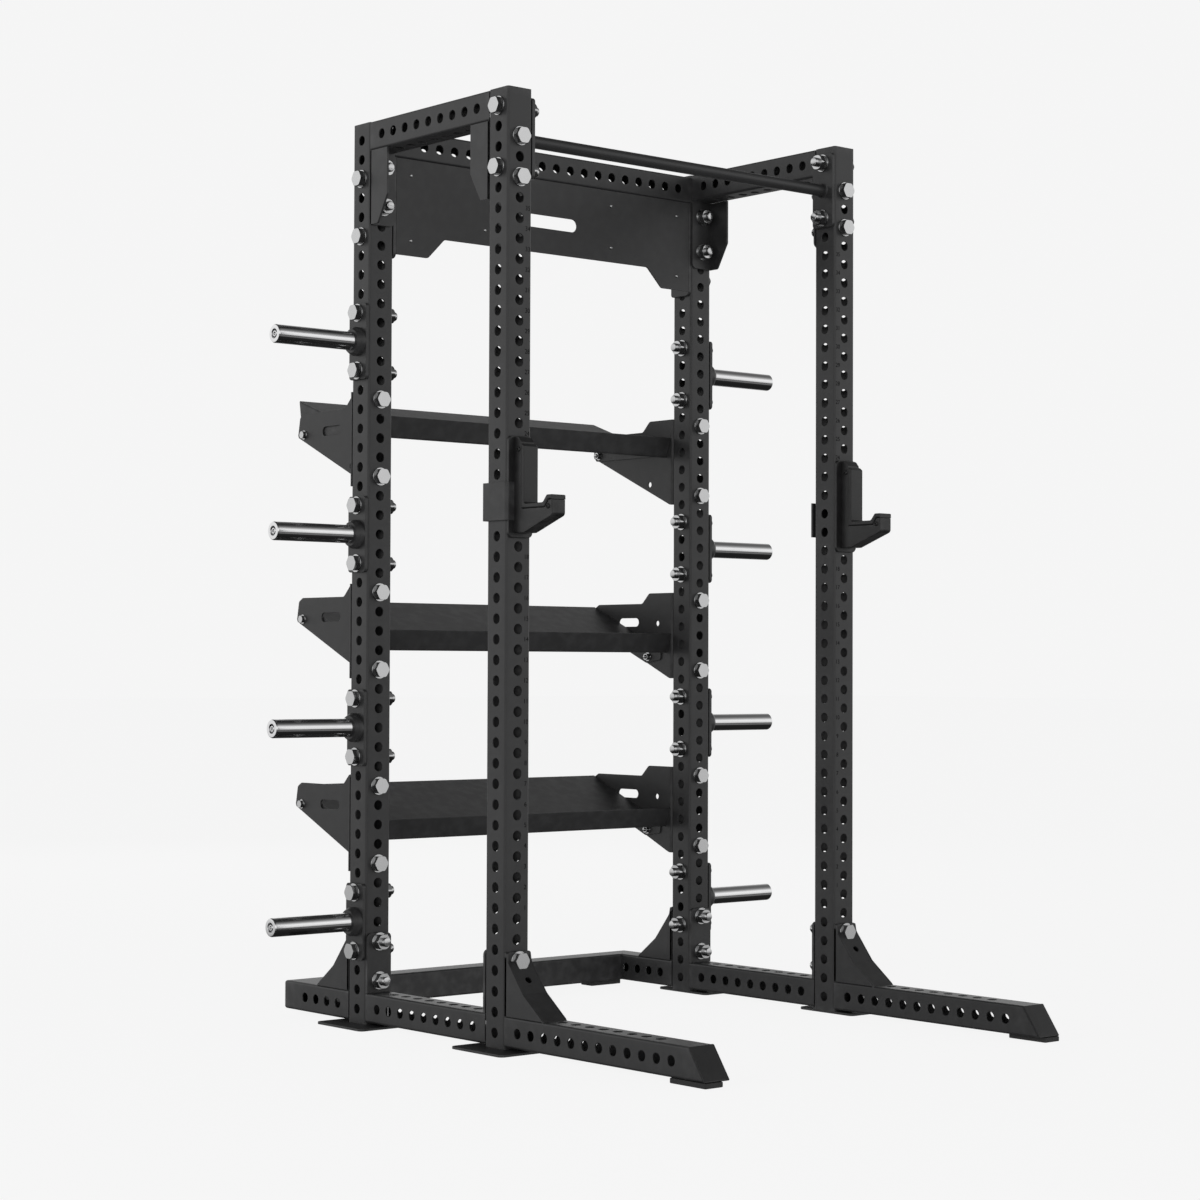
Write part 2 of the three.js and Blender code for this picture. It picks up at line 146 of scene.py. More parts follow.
def makeRoom():
    # what reflects sees the room, bright by height; the camera sees the plain backdrop
    scene = bpy.context.scene
    scene.view_settings.view_transform = "Standard"
    world = bpy.data.worlds.new("studio")
    world.use_nodes = True
    scene.world = world
    nodes, links = world.node_tree.nodes, world.node_tree.links
    nodes.clear()
    out = nodes.new("ShaderNodeOutputWorld")
    mix = nodes.new("ShaderNodeMixShader")
    room = nodes.new("ShaderNodeBackground")
    plain = nodes.new("ShaderNodeBackground")
    shade = studio["backdrop"]
    plain.inputs["Color"].default_value = (shade, shade, shade, 1)
    path = nodes.new("ShaderNodeLightPath")
    coords = nodes.new("ShaderNodeTexCoord")
    split = nodes.new("ShaderNodeSeparateXYZ")
    scale = nodes.new("ShaderNodeMapRange")
    scale.inputs["From Min"].default_value = -1
    ramp = nodes.new("ShaderNodeValToRGB")
    stops = studio["room"]
    while len(ramp.color_ramp.elements) < len(stops):
        ramp.color_ramp.elements.new(0.5)
    for element, (height, bright) in zip(ramp.color_ramp.elements, stops):
        element.position = (height + 1) / 2
        element.color = (bright, bright, bright, 1)
    links.new(coords.outputs["Generated"], split.inputs[0])
    links.new(split.outputs["Z"], scale.inputs["Value"])
    links.new(scale.outputs[0], ramp.inputs[0])
    links.new(ramp.outputs[0], room.inputs["Color"])
    links.new(path.outputs["Is Camera Ray"], mix.inputs[0])
    links.new(room.outputs[0], mix.inputs[1])
    links.new(plain.outputs[0], mix.inputs[2])
    links.new(mix.outputs[0], out.inputs["Surface"])


def makeSoftboxes():
    for name, place, size, power in studio["softboxes"]:
        data = bpy.data.lights.new(name, "AREA")
        data.size = size
        data.energy = power
        lamp = newObject(name, data)
        lamp.location = place
        aim = Vector((0, middleY * mm, studio["aimHeight"])) - Vector(place)
        lamp.rotation_euler = aim.to_track_quat("-Z", "Y").to_euler()
        lamp.visible_glossy = False


def makeFloor():
    reach = studio["floorHalf"]
    mesh = bpy.data.meshes.new("floor")
    corners = [(-reach, -reach, 0), (reach, -reach, 0), (reach, reach, 0), (-reach, reach, 0)]
    mesh.from_pydata(corners, [], [(0, 1, 2, 3)])
    floor = newObject("floor", mesh)
    floor.location.z = -studio["floorDrop"]
    floor.visible_glossy = False
    paint = bpy.data.materials.new("floorPaint")
    paint.use_nodes = True
    shader = paint.node_tree.nodes["Principled BSDF"]
    shader.inputs["Base Color"].default_value = studio["floorColour"]
    shader.inputs["Roughness"].default_value = 0.9
    shader.inputs["Specular IOR Level"].default_value = 0.0
    shader.inputs["Emission Color"].default_value = (1, 1, 1, 1)
    shader.inputs["Emission Strength"].default_value = studio["floorGlow"]
    mesh.materials.append(paint)


makeCamera()
makeRoom()
makeSoftboxes()
makeFloor()
print("camera, floor and light ready")


# ---- finishes
def newGroup(name, inputs, outputs):
    group = bpy.data.node_groups.new(name, "ShaderNodeTree")
    for label, kind, start in inputs:
        socket = group.interface.new_socket(name=label, in_out="INPUT", socket_type=kind)
        socket.default_value = start
    for label, kind in outputs:
        group.interface.new_socket(name=label, in_out="OUTPUT", socket_type=kind)
    return group, group.nodes.new("NodeGroupInput"), group.nodes.new("NodeGroupOutput")


def mathNode(tree, operation, first, second=None):
    node = tree.nodes.new("ShaderNodeMath")
    node.operation = operation
    for socket, value in zip(node.inputs, (first, second)):
        if isinstance(value, bpy.types.NodeSocket):
            tree.links.new(value, socket)
        elif value is not None:
            socket.default_value = value
    return node.outputs[0]


def noiseNode(tree, vector, scale, detail=3.0):
    node = tree.nodes.new("ShaderNodeTexNoise")
    node.inputs["Detail"].default_value = detail
    tree.links.new(vector, node.inputs["Vector"])
    if isinstance(scale, bpy.types.NodeSocket):
        tree.links.new(scale, node.inputs["Scale"])
    else:
        node.inputs["Scale"].default_value = scale
    return node.outputs["Fac"]


def makeEdgeWear():
    # mask of convex edges, broken up by noise: pointiness above a threshold times blotches
    tree, given, out = newGroup(
        "edgeWear",
        [("Vector", "NodeSocketVector", (0, 0, 0)), ("Amount", "NodeSocketFloat", 0.3)],
        [("Mask", "NodeSocketFloat")],
    )
    geometry = tree.nodes.new("ShaderNodeNewGeometry")
    spread = tree.nodes.new("ShaderNodeMapRange")
    spread.inputs["From Min"].default_value = 0.515
    spread.inputs["From Max"].default_value = 0.62
    tree.links.new(geometry.outputs["Pointiness"], spread.inputs["Value"])
    blotch = tree.nodes.new("ShaderNodeMapRange")
    blotch.inputs["From Min"].default_value = 0.42
    blotch.inputs["From Max"].default_value = 0.68
    tree.links.new(noiseNode(tree, given.outputs["Vector"], 34.0, 5.0), blotch.inputs["Value"])
    worn = mathNode(tree, "MULTIPLY", spread.outputs[0], blotch.outputs[0])
    tree.links.new(mathNode(tree, "MULTIPLY", worn, given.outputs["Amount"]), out.inputs["Mask"])
    return tree


def makeGrain():
    # orange-peel height and slow roughness drift of a sprayed or moulded surface
    tree, given, out = newGroup(
        "surfaceGrain",
        [
            ("Vector", "NodeSocketVector", (0, 0, 0)),
            ("Scale", "NodeSocketFloat", 900.0),
            ("Roughness", "NodeSocketFloat", 0.5),
            ("Drift", "NodeSocketFloat", 0.08),
        ],
        [("Height", "NodeSocketFloat"), ("Roughness", "NodeSocketFloat"), ("Mottle", "NodeSocketFloat")],
    )
    fine = noiseNode(tree, given.outputs["Vector"], given.outputs["Scale"], 2.0)
    slow = noiseNode(tree, given.outputs["Vector"], 5.5, 4.0)
    centred = mathNode(tree, "SUBTRACT", slow, 0.5)
    drift = mathNode(tree, "MULTIPLY", centred, given.outputs["Drift"])
    tree.links.new(fine, out.inputs["Height"])
    tree.links.new(mathNode(tree, "ADD", given.outputs["Roughness"], drift), out.inputs["Roughness"])
    tree.links.new(slow, out.inputs["Mottle"])
    return tree


edgeWear = makeEdgeWear()
surfaceGrain = makeGrain()


def makeFinish(name, look):
    finish = bpy.data.materials.new(name)
    finish.use_nodes = True
    tree = finish.node_tree
    shader = tree.nodes["Principled BSDF"]
    shader.inputs["Metallic"].default_value = look["metallic"]
    shader.inputs["Specular IOR Level"].default_value = look.get("specular", 0.5)
    coords = tree.nodes.new("ShaderNodeTexCoord")
    mapping = tree.nodes.new("ShaderNodeMapping")
    mapping.inputs["Scale"].default_value = look.get("stretch", (1, 1, 1))
    tree.links.new(coords.outputs["Object"], mapping.inputs["Vector"])
    grain = tree.nodes.new("ShaderNodeGroup")
    grain.node_tree = surfaceGrain
    grain.inputs["Scale"].default_value = look["grainScale"]
    grain.inputs["Roughness"].default_value = look["roughness"]
    grain.inputs["Drift"].default_value = look["drift"]
    tree.links.new(mapping.outputs[0], grain.inputs["Vector"])
    mottle = tree.nodes.new("ShaderNodeMix")
    mottle.data_type = "RGBA"
    mottle.inputs["A"].default_value = (*look["colour"], 1)
    mottle.inputs["B"].default_value = (*look["secondColour"], 1)
    tree.links.new(grain.outputs["Mottle"], mottle.inputs["Factor"])
    wear = tree.nodes.new("ShaderNodeGroup")
    wear.node_tree = edgeWear
    wear.inputs["Amount"].default_value = look["wear"]
    tree.links.new(coords.outputs["Object"], wear.inputs["Vector"])
    worn = tree.nodes.new("ShaderNodeMix")
    worn.data_type = "RGBA"
    worn.inputs["B"].default_value = (*look["wornColour"], 1)
    tree.links.new(wear.outputs["Mask"], worn.inputs["Factor"])
    tree.links.new(mottle.outputs["Result"], worn.inputs["A"])
    tree.links.new(worn.outputs["Result"], shader.inputs["Base Color"])
    tree.links.new(grain.outputs["Roughness"], shader.inputs["Roughness"])
    bump = tree.nodes.new("ShaderNodeBump")
    bump.inputs["Strength"].default_value = look["bump"]
    bump.inputs["Distance"].default_value = look["bumpHeight"]
    tree.links.new(grain.outputs["Height"], bump.inputs["Height"])
    tree.links.new(bump.outputs["Normal"], shader.inputs["Normal"])
    return finish


coat = {
    "metallic": 0.0,
    "colour": (0.014, 0.014, 0.0144),
    "secondColour": (0.0195, 0.0195, 0.02),
    "wornColour": (0.09, 0.09, 0.092),
    "roughness": 0.42,
    "drift": 0.05,
    "grainScale": 700.0,
    "bump": 0.25,
    "bumpHeight": 0.0004,
    "wear": 0.35,
}
chromeLook = {
    "metallic": 1.0,
    "colour": (0.72, 0.72, 0.725),
    "secondColour": (0.8, 0.8, 0.805),
    "wornColour": (0.5, 0.5, 0.5),
    "roughness": 0.12,
    "drift": 0.1,
    "grainScale": 300.0,
    "stretch": (0.04, 1, 1),
    "bump": 0.1,
    "bumpHeight": 0.0002,
    "wear": 0.2,
}
zincLook = dict(
    chromeLook,
    colour=(0.5, 0.502, 0.505),
    secondColour=(0.6, 0.602, 0.605),
    roughness=0.2,
    drift=0.16,
    grainScale=500.0,
    stretch=(1, 1, 1),
)
plasticLook = dict(
    coat,
    colour=(0.006, 0.006, 0.0062),
    secondColour=(0.009, 0.009, 0.0092),
    wornColour=(0.05, 0.05, 0.05),
    roughness=0.42,
    grainScale=1400.0,
    wear=0.25,
)
rubberLook = dict(
    coat,
    colour=(0.014, 0.014, 0.014),
    secondColour=(0.02, 0.02, 0.02),
    wornColour=(0.06, 0.058, 0.055),
    roughness=0.75,
    grainScale=450.0,
    bump=0.5,
)
finishes = {
    "tube_coat": makeFinish("powderCoat", coat),
    "sheet_coat": makeFinish("sheetCoat", dict(coat, roughness=0.47, grainScale=620.0)),
    "chrome": makeFinish("sleeveChrome", chromeLook),
    "zinc": makeFinish("boltZinc", zincLook),
    "plastic": makeFinish("linerPlastic", plasticLook),
    "rubber": makeFinish("padRubber", rubberLook),
}
cupLook = dict(coat, colour=(0.005, 0.005, 0.0052), secondColour=(0.008, 0.008, 0.0082))
inkLook = dict(coat, colour=(0.001,) * 3, secondColour=(0.002,) * 3, wear=0.0, specular=0.0)
cupCoat = makeFinish("cupCoat", cupLook)
numberInk = makeFinish("numberEtch", inkLook)

for node in frame["record"]["subparts"]:
    cadMesh = frame["nodes"][node["node"]].data
    cadMesh.materials.clear()
    cadMesh.materials.append(finishes[node["material_slot"]])
print("finishes ready")


# ---- mesh helpers. A shape is a pair: points in millimetres, and quads that index them
weldDistance = 2e-6  # metres within which points become one
sharpAngle = 32  # degrees from which an edge is shaded sharp


def gather(shapes):
    points = np.concatenate([shape[0] for shape in shapes])
    starts = np.cumsum([0] + [len(shape[0]) for shape in shapes[:-1]])
    quads = np.concatenate([shape[1] + start for shape, start in zip(shapes, starts)])
    return points, quads


def gridShape(points, around=False):
    # points on a rows by columns grid become quads between neighbours; around closes each row on itself
    rows, columns = points.shape[:2]
    index = np.arange(rows * columns).reshape(rows, columns)
    if around:
        index = np.concatenate([index, index[:, :1]], axis=1)
    quads = np.stack([index[:-1, :-1], index[:-1, 1:], index[1:, 1:], index[1:, :-1]], axis=-1)
    return points.reshape(-1, 3), quads.reshape(-1, 4)


def finishPiece(piece, body, slot, nodes=(), finish=None):
    work = bmesh.new()
    work.from_mesh(piece.data)
    bmesh.ops.remove_doubles(work, verts=work.verts, dist=weldDistance)
    bmesh.ops.recalc_face_normals(work, faces=work.faces)
    work.to_mesh(piece.data)
    work.free()
    piece.data.polygons.foreach_set("use_smooth", np.ones(len(piece.data.polygons), bool))
    piece.data.set_sharp_from_angle(angle=math.radians(sharpAngle))
    weighted = piece.modifiers.new("faceWeighted", "WEIGHTED_NORMAL")
    weighted.keep_sharp = True
    piece.data.materials.clear()
    piece.data.materials.append(finish or finishes[slot])
    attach(piece, body)
    if nodes:
        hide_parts(*nodes)


def addPiece(name, shape, body, slot, nodes=()):
    mesh = bpy.data.meshes.new(name)
    mesh.from_pydata((shape[0] * mm).tolist(), [], shape[1].tolist())
    finishPiece(newObject(name, mesh), body, slot, nodes)


# which of x, y and z the across, up and along directions of a shape become
axisOrder = {"x": (1, 2, 0), "y": (2, 0, 1), "z": (0, 1, 2)}


def layAlong(points, axis):
    laid = np.empty_like(points)
    laid[:, list(axisOrder[axis])] = points
    return laid


# ---- perforated square tube
# A side is split into cells one pitch long. Each cell is rings of 24 points: the cell's rectangle, then
# the hole's chamfer and wall, then the rectangle again inside the tube. Between cells are plain strips.
ringSteps = 6
cornerSteps = 6
plainEnds = ((0, 0), (0, 0))


def cellRings(a, b, wall):
    # a and b are half the cell across and along
    step = np.arange(-ringSteps // 2, ringSteps // 2) / (ringSteps / 2)
    edge = np.concatenate([
        np.stack([np.full(ringSteps, a), step * b], 1),
        np.stack([-step * a, np.full(ringSteps, b)], 1),
        np.stack([np.full(ringSteps, -a), -step * b], 1),
        np.stack([step * a, np.full(ringSteps, -b)], 1),
    ])
    turn = (np.arange(4 * ringSteps) / (4 * ringSteps) - 0.125) * 2 * math.pi
    circle = np.stack([np.cos(turn), np.sin(turn)], 1)
    radius, chamfer = rack["holeRadius"], rack["holeChamfer"]
    rings = [
        (edge, 0), (circle * (radius + chamfer), 0), (circle * radius, chamfer),
        (circle * radius, wall), (edge, wall),
    ]
    return np.stack([np.column_stack([ring, np.full(len(ring), depth)]) for ring, depth in rings])


def tubeShape(along, rows, leans=plainEnds, cellHalf=rack["pitch"] / 2):
    # along is the range of the tube; rows gives the hole places on its +across, +up, -across, -up sides;
    # leans gives how far each end moves along the tube per step across and per step up
    radius, wall = rack["cornerRadius"], rack["wall"]
    a, b = half - radius, cellHalf
    steps = np.arange(-ringSteps // 2, ringSteps // 2 + 1) / (ringSteps / 2) * b
    inCells = [np.add.outer(np.array(row, float), steps).ravel() for row in rows if len(row)]
    stations = np.unique(np.round(np.concatenate([np.array(along, float)] + inCells), 3))
    shapes = []
    for k, row in enumerate(rows):
        normal = np.array([math.cos(k * math.pi / 2), math.sin(k * math.pi / 2)]).round()
        tangent = np.array([-normal[1], normal[0]])

        def place(s, w, depth):
            flat = normal * (half - depth)[..., None] + tangent * s[..., None]
            return np.concatenate([flat, w[..., None]], -1)

        across = np.linspace(-a, a, ringSteps + 1) if len(row) else np.array([-a, a])
        for low, high in zip(stations[:-1], stations[1:]):
            if any(abs((low + high) / 2 - hole) < b for hole in row):
                continue
            for depth, order in ((0.0, 1), (wall, -1)):
                s, w = np.meshgrid(across[::order], [low, high])
                shapes.append(gridShape(place(s, w, np.full(s.shape, depth))))
        rings = cellRings(a, b, wall)
        for hole in row:
            shapes.append(gridShape(place(rings[..., 0], rings[..., 1] + hole, rings[..., 2]), around=True))
        phi = k * math.pi / 2 + np.linspace(0, math.pi / 2, cornerSteps)
        centre = normal * a + tangent * a
        for bend, order in ((radius, 1), (radius - wall, -1)):
            arc = centre + bend * np.stack([np.cos(phi), np.sin(phi)], 1)[::order]
            strip = np.concatenate([
                np.broadcast_to(arc, (len(stations), *arc.shape)),
                np.broadcast_to(stations[:, None, None], (len(stations), len(arc), 1)),
            ], -1)
            shapes.append(gridShape(strip))
        quarter = np.stack([np.cos(phi), np.sin(phi)], 1)
        corner = [centre + bend * quarter for bend in (radius, radius - wall)]
        flats = [normal * (half - depth) + tangent * across[:, None] for depth in (0.0, wall)]
        for end, order in ((stations[0], -1), (stations[-1], 1)):
            for outer, inner in (corner, flats):
                pair = np.stack([outer, inner])[:, ::order]
                shapes.append(gridShape(np.concatenate([pair, np.full((*pair.shape[:2], 1), end)], -1)))
    points, quads = gather(shapes)
    for end, (leanAcross, leanUp) in zip((stations[0], stations[-1]), leans):
        atEnd = np.abs(points[:, 2] - end) < 1e-3
        points[atEnd, 2] += leanAcross * points[atEnd, 0] + leanUp * points[atEnd, 1]
    return points, quads


def addTube(name, axis, centre, along, rows, nodes=(), leans=plainEnds, cellHalf=rack["pitch"] / 2):
    points, quads = tubeShape(along, rows, leans, cellHalf)
    points[:, 0] += centre[0]
    points[:, 1] += centre[1]
    addPiece(name, (layAlong(points, axis), quads), "root", "tube_coat", nodes)


def rowOf(first, count, step=rack["pitch"]):
    return [first + i * step for i in range(count)]


def middleRow(count, middle=0.0):
    return rowOf(middle - (count - 1) / 2 * rack["pitch"], count)


# ---- flat plates: an outline with round corners and holes, filled, given its thickness and eased edges
arcPoints = 7
straight = 3.1  # radians between two sides from which a corner is left as it is
edgeShare = 0.3  # most of a plate's thickness that one eased edge takes


def rounded(corners, radius=0.0):
    # each corner becomes an arc that touches both of its sides; radius is one size or one for each corner
    corners = np.array(corners, float)
    radii = np.broadcast_to(radius, len(corners))
    points = []
    for i, corner in enumerate(corners):
        back = corners[i - 1] - corner
        on = corners[(i + 1) % len(corners)] - corner
        back, on = back / np.linalg.norm(back), on / np.linalg.norm(on)
        opening = math.acos(np.clip(back @ on, -1, 1))
        if radii[i] <= 0 or opening > straight:
            points.append(corner)
            continue
        middle = (back + on) / np.linalg.norm(back + on)
        centre = corner + middle * radii[i] / math.sin(opening / 2)
        reach = radii[i] / math.tan(opening / 2)
        first = corner + back * reach - centre
        last = corner + on * reach - centre
        sweep = np.linspace(0, 1, arcPoints)[:, None]
        swing = math.pi - opening
        arc = (np.sin((1 - sweep) * swing) * first + np.sin(sweep * swing) * last) / math.sin(swing)
        points.extend(centre + arc)
    return np.array(points)


def circleOf(centre, radius, count=28):
    turn = np.arange(count) / count * 2 * math.pi
    return np.array(centre) + radius * np.stack([np.cos(turn), np.sin(turn)], 1)


def slotOf(centre, length, height):
    turn = np.linspace(-math.pi / 2, math.pi / 2, 12)
    cap = np.stack([np.cos(turn), np.sin(turn)], 1) * height / 2
    right = cap + [(length - height) / 2, 0]
    return np.array(centre) + np.concatenate([right, -right])


plateTurns = {
    "x": Matrix(((0, 0, 1), (1, 0, 0), (0, 1, 0))),
    "y": Matrix(((1, 0, 0), (0, 0, -1), (0, 1, 0))),
    "z": Matrix.Identity(3),
}


def addPlate(name, outline, axis, along, body, slot, nodes=(), holes=(), ease=0.8, turn=None, finish=None):
    curve = bpy.data.curves.new(name, "CURVE")
    curve.dimensions = "2D"
    curve.fill_mode = "BOTH"
    for loop in (outline, *holes):
        spline = curve.splines.new("POLY")
        spline.points.add(len(loop) - 1)
        flat = np.column_stack([np.array(loop) * mm, np.zeros(len(loop)), np.ones(len(loop))])
        spline.points.foreach_set("co", flat.ravel())
        spline.use_cyclic_u = True
    low, high = min(along), max(along)
    ease = min(ease, (high - low) * edgeShare)
    curve.extrude = ((high - low) / 2 - ease) * mm
    curve.bevel_depth = ease * mm
    curve.bevel_resolution = 1
    curve.offset = -ease * mm
    drawn = bpy.data.objects.new(name, curve)
    mesh = bpy.data.meshes.new_from_object(drawn)
    bpy.data.objects.remove(drawn)
    shift = Vector(np.eye(3)["xyz".index(axis)] * (low + high) / 2 * mm)
    mesh.transform(Matrix.Translation(shift) @ plateTurns[axis].to_4x4())
    if turn:
        mesh.transform(turn)
    finishPiece(newObject(name, mesh), body, slot, nodes, finish)


def rectangle(a, b):
    return [(min(a), min(b)), (max(a), min(b)), (max(a), max(b)), (min(a), max(b))]


def outlineOf(low, high, axes, radius):
    # a node's box seen along one axis, with round corners
    first, second = axes
    return rounded(rectangle((low[first], high[first]), (low[second], high[second])), radius)


# ---- turned and hexagonal pieces: radius as a function of angle, over a profile of radius and height
turnSteps = 36


def turned(profile, flats=0.0, steps=turnSteps, flatAt=0.0):
    # a hexagon's polar radius cuts the profile's radius where flats is its width across flats
    profile = np.array(profile, float)
    turn = np.arange(steps) / steps * 2 * math.pi
    radius = np.broadcast_to(profile[:, :1], (len(profile), steps))
    if flats:
        hexagon = flats / 2 / np.cos((turn - flatAt + math.pi / 6) % (math.pi / 3) - math.pi / 6)
        radius = np.minimum(radius, hexagon)
    height = np.broadcast_to(profile[:, 1:], radius.shape)
    return gridShape(np.stack([radius * np.cos(turn), radius * np.sin(turn), height], -1), around=True)


def placeTurned(shape, axis, sign, place):
    points = shape[0] * [1, sign, sign]
    laid = layAlong(points, axis)
    return laid + np.array(place), shape[1]


bolt = {
    "flats": 38.0,
    "corners": 43.0,
    "headHeight": 15.0,
    "washerRadius": 24.0,
    "washerThick": 3.0,
    "nutHeight": 20.0,
    "studRadius": 12.3,
    "studLength": 13.0,
}


def washerShape(size):
    wide, thick = size["washerRadius"], size["washerThick"]
    return turned([(0, 0), (wide, 0), (wide, thick - 0.6), (wide - 0.6, thick), (0, thick)])


def headShape(size, flatAt):
    base, wide = size["washerThick"], size["corners"] / 2
    top = base + size["headHeight"]
    profile = [
        (0, base), (wide - 1, base), (wide + 1, base + 1), (wide + 1, top - 1.6),
        (wide - 0.9, top), (0, top),
    ]
    return turned(profile, size["flats"], flatAt=flatAt)


def nutShape(size, flatAt):
    base, wide, stud = size["washerThick"], size["corners"] / 2, size["studRadius"]
    top = base + size["nutHeight"]
    tip = top + size["studLength"]
    profile = [
        (0, base), (wide - 1.5, base), (wide, base + 2), (wide, top - 2), (wide - 1.8, top),
        (0, top),
    ]
    screw = [
        (0, top - 1), (stud, top - 1), (stud, tip - 3.5), (stud - 1.2, tip - 1.2),
        (stud - 3.6, tip), (0, tip),
    ]
    return gather([turned(profile, size["flats"], flatAt=flatAt), turned(screw)])


def fastenerShape(kind, axis, sign, place, size=bolt):
    flatAt = math.pi / 6 if axis == "x" else 0.0  # keeps one flat uppermost
    upper = headShape(size, flatAt) if kind == "head" else nutShape(size, flatAt)
    return placeTurned(gather([washerShape(size), upper]), axis, sign, place)


def addFasteners(name, rows, size=bolt):
    addPiece(name, gather([fastenerShape(*row, size=size) for row in rows]), "root", "zinc")


print("helpers ready")


# ---- uprights, with their top plugs
upright = {"plugGap": 0.4, "plugCorner": 4, "plugDeep": 9, "plugSunk": 1, "footCorner": 15}


def makeUprights():
    sideRow = rowOf(level(0), rack["topLevel"] + 1)
    faceRow = rowOf(level(1.5), rack["topLevel"] - 2)
    for _, hand in sides:
        for _, place in ends:
            node = f"{place}_{hand}_upright"
            low, high = boxOf(node)
            centre = (low[:2] + high[:2]) / 2
            rows = (sideRow, faceRow, sideRow, faceRow)
            addTube(f"{node}_tube", "z", centre, (low[2], high[2]), rows, [node])
            inside = half - rack["wall"] - upright["plugGap"]
            x = (centre[0] - inside, centre[0] + inside)
            y = (centre[1] - inside, centre[1] + inside)
            outline = rounded(rectangle(x, y), upright["plugCorner"])
            along = (high[2] - upright["plugDeep"], high[2] - upright["plugSunk"])
            addPlate(f"{node}_plug", outline, "z", along, "root", "plastic", ease=2)


def makeFootPlates():
    for _, hand in sides:
        for _, place in ends:
            node = f"{place}_{hand}_foot_plate"
            low, high = boxOf(node)
            outline = outlineOf(low, high, (0, 1), upright["footCorner"])
            along = (low[2], high[2])
            addPlate(f"{node}_steel", outline, "z", along, "root", "tube_coat", [node], ease=1)


makeUprights()
makeFootPlates()
print("uprights ready")


# ---- base: rails, feet, gussets, caps and pads
base = {
    "flangeThick": 8.0,
    "flangeCorner": 12.0,
    "gussetSheet": 5.0,
    "gussetReach": 150.0,
    "kneeReach": 72.0,
    "kneeHeight": 59.0,
    "topReach": 12.0,
    "gussetCorners": (0, 2, 22, 20, 3, 0),
    "gussetBolt": 3.5,  # level of the bolt at its top
    "accessRadius": 9.0,
    "rake": 54.0,  # how far the front foot's end leans
    "footHoles": 12,
    "footTopHoles": 8,
    "rearHoles": 4,
    "rearCellHalf": 15.5,
    "capCorner": 2.5,
    "padCorner": 5,
}
railLow, railHigh = boxOf("left_base_rail")
railCentre = railLow[2] + half
railTop = railLow[2] + rack["tube"]
flangeTop = railHigh[2]


def addFlange(name, side, y, away):
    x = (side * innerX, side * outerX)
    corners = rectangle(x, (railTop, flangeTop))
    outline = rounded(corners, [0, 0, base["flangeCorner"], base["flangeCorner"]])
    addPlate(name, outline, "y", (y, y + away * base["flangeThick"]), "root", "tube_coat", ease=0.6)


def addGusset(name, side, face, away):
    # two cheeks, and a strip folded down the slope between them
    x = side * uprightX
    corners = [
        (0.0, railTop),
        (base["gussetReach"], railTop),
        (base["kneeReach"], railTop + base["kneeHeight"]),
        (base["topReach"], level(base["gussetBolt"])),
        (base["topReach"] - 4, flangeTop - 2),
        (0.0, flangeTop),
    ]
    outline = rounded([(face + away * out, z) for out, z in corners], base["gussetCorners"])
    for edge in (-1, 1):
        outer = x + edge * half
        cheek = f"{name}_cheek_{'a' if edge < 0 else 'b'}"
        along = (outer, outer - edge * base["gussetSheet"])
        addPlate(cheek, outline, "x", along, "root", "tube_coat", ease=0.7)
    stops = [np.array(corners[i]) for i in (1, 2, 3)]
    for part, (low, high) in enumerate(zip(stops[:-1], stops[1:])):
        length = np.linalg.norm(high - low)
        wide = half - 1
        run = (high - low) / length
        slope = Vector((0, away * run[0], run[1]))
        across = Vector((1, 0, 0))
        normal = across.cross(slope) * (-1 if away > 0 else 1)
        holes = [circleOf((0, length * 0.42), base["accessRadius"])] if part else []
        strip = rectangle((-wide, wide), (-0.5, length + 0.5))
        turn = Matrix((across if away < 0 else -across, slope, normal)).transposed()
        start = Vector((x, face + away * low[0], low[1]))
        turn = Matrix.Translation(start * mm) @ turn.to_4x4()
        deep = (-base["gussetSheet"], -0.4)
        piece = f"{name}_slope_{part + 1}"
        addPlate(piece, strip, "z", deep, "root", "tube_coat", holes=holes, ease=0.4, turn=turn)


